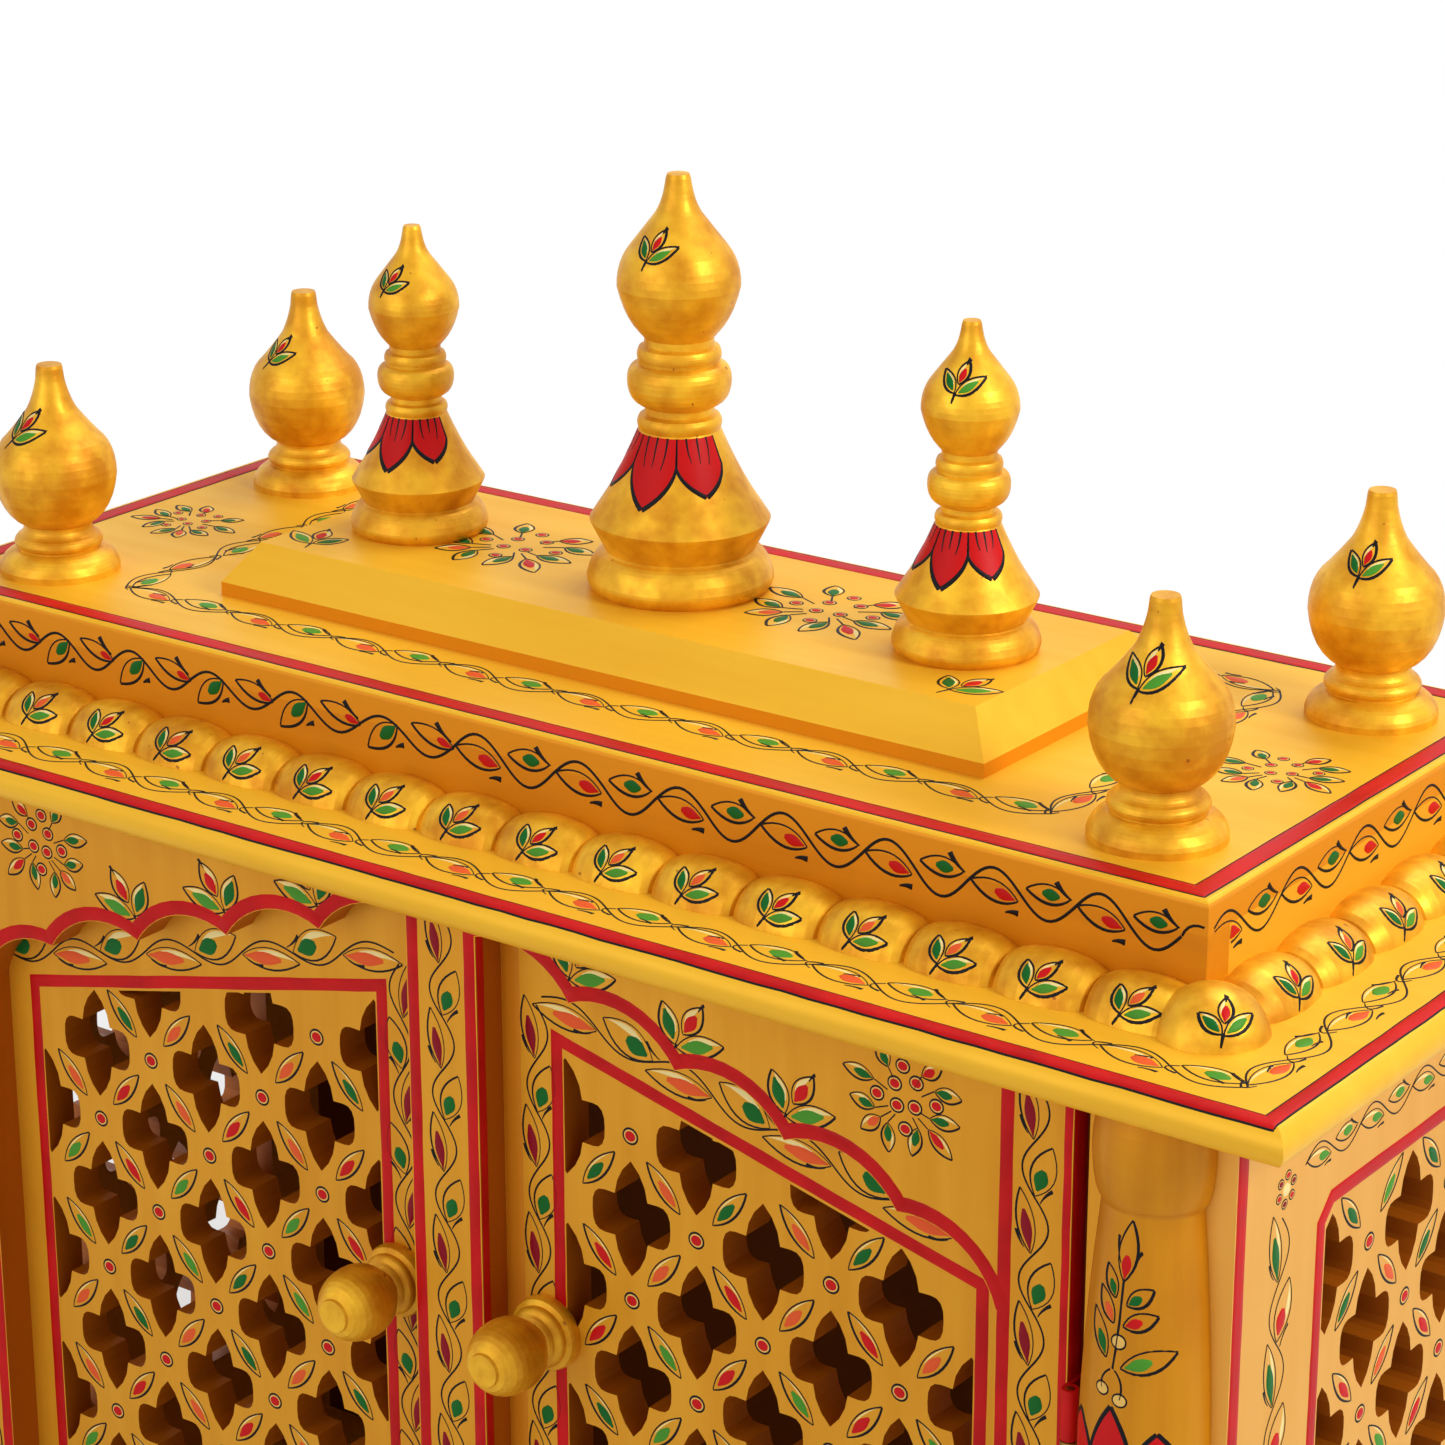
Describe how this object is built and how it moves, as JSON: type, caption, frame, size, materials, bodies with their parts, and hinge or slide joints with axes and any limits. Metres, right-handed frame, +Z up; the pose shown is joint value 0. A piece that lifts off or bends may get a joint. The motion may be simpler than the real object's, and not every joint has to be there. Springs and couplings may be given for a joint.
{
  "type": "pooja mandir",
  "caption": "Painted wooden home shrine: a cabinet with hinged jaali doors under scalloped arches, half columns, jaali sides, a beaded cornice and turned finials on its roof.",
  "frame": {"origin": "middle of the plinth's underside", "axes": "+Z up, the doors face -Y, +X to the right seen from the front"},
  "size_m": [0.606, 0.3, 0.606],
  "materials": {
    "gold_painted_wood": "satin gold paint",
    "turned_gold_wood": "glossy gold paint",
    "ochre_painted_wood": "satin ochre paint",
    "red_painted_hinge": "brushed on red paint",
    "brass_hinge": "worn"
  },
  "bodies": {
    "cabinet": {"plinth_front": "gold_painted_wood", "plinth_back": "gold_painted_wood", "plinth_left": "gold_painted_wood", "plinth_right": "gold_painted_wood", "base_board": "gold_painted_wood", "cornice_board": "gold_painted_wood", "frieze_front": "gold_painted_wood", "frieze_back": "gold_painted_wood", "frieze_left": "gold_painted_wood", "frieze_right": "gold_painted_wood", "roof_board": "gold_painted_wood", "front_beads": "gold_painted_wood", "back_beads": "gold_painted_wood", "left_beads": "gold_painted_wood", "right_beads": "gold_painted_wood", "raised_base": "gold_painted_wood", "left_column": "gold_painted_wood", "right_column": "gold_painted_wood", "centre_finial": "turned_gold_wood", "left_finial": "turned_gold_wood", "right_finial": "turned_gold_wood", "front_left_finial": "turned_gold_wood", "front_right_finial": "turned_gold_wood", "back_left_finial": "turned_gold_wood", "back_right_finial": "turned_gold_wood", "back_panel": "ochre_painted_wood", "left_side_jaali": "ochre_painted_wood", "right_side_jaali": "ochre_painted_wood", "left_jamb": "ochre_painted_wood", "right_jamb": "ochre_painted_wood", "right_jamb_hinges": "brass_hinge", "left_jamb_hinges": "brass_hinge"},
    "right_door": {"right_outer_stile": "ochre_painted_wood", "centre_stile": "ochre_painted_wood", "right_arch_head": "ochre_painted_wood", "right_bottom_rail": "ochre_painted_wood", "right_door_jaali": "ochre_painted_wood", "right_knob": "turned_gold_wood", "right_door_hinges": "red_painted_hinge"},
    "left_door": {"left_outer_stile": "ochre_painted_wood", "left_arch_head": "ochre_painted_wood", "left_bottom_rail": "ochre_painted_wood", "left_door_jaali": "ochre_painted_wood", "left_knob": "turned_gold_wood", "left_door_hinges": "red_painted_hinge"}
  },
  "joints": [
    {"name": "right_door_swing", "type": "hinge", "parent": "cabinet", "child": "right_door", "pos_m": [0.2267, -0.1243, 0.228], "axis": [0, 0, 1], "range_deg": [0, 110]},
    {"name": "left_door_swing", "type": "hinge", "parent": "cabinet", "child": "left_door", "pos_m": [-0.2267, -0.1243, 0.228], "axis": [0, 0, -1], "range_deg": [0, 110]}
  ]
}
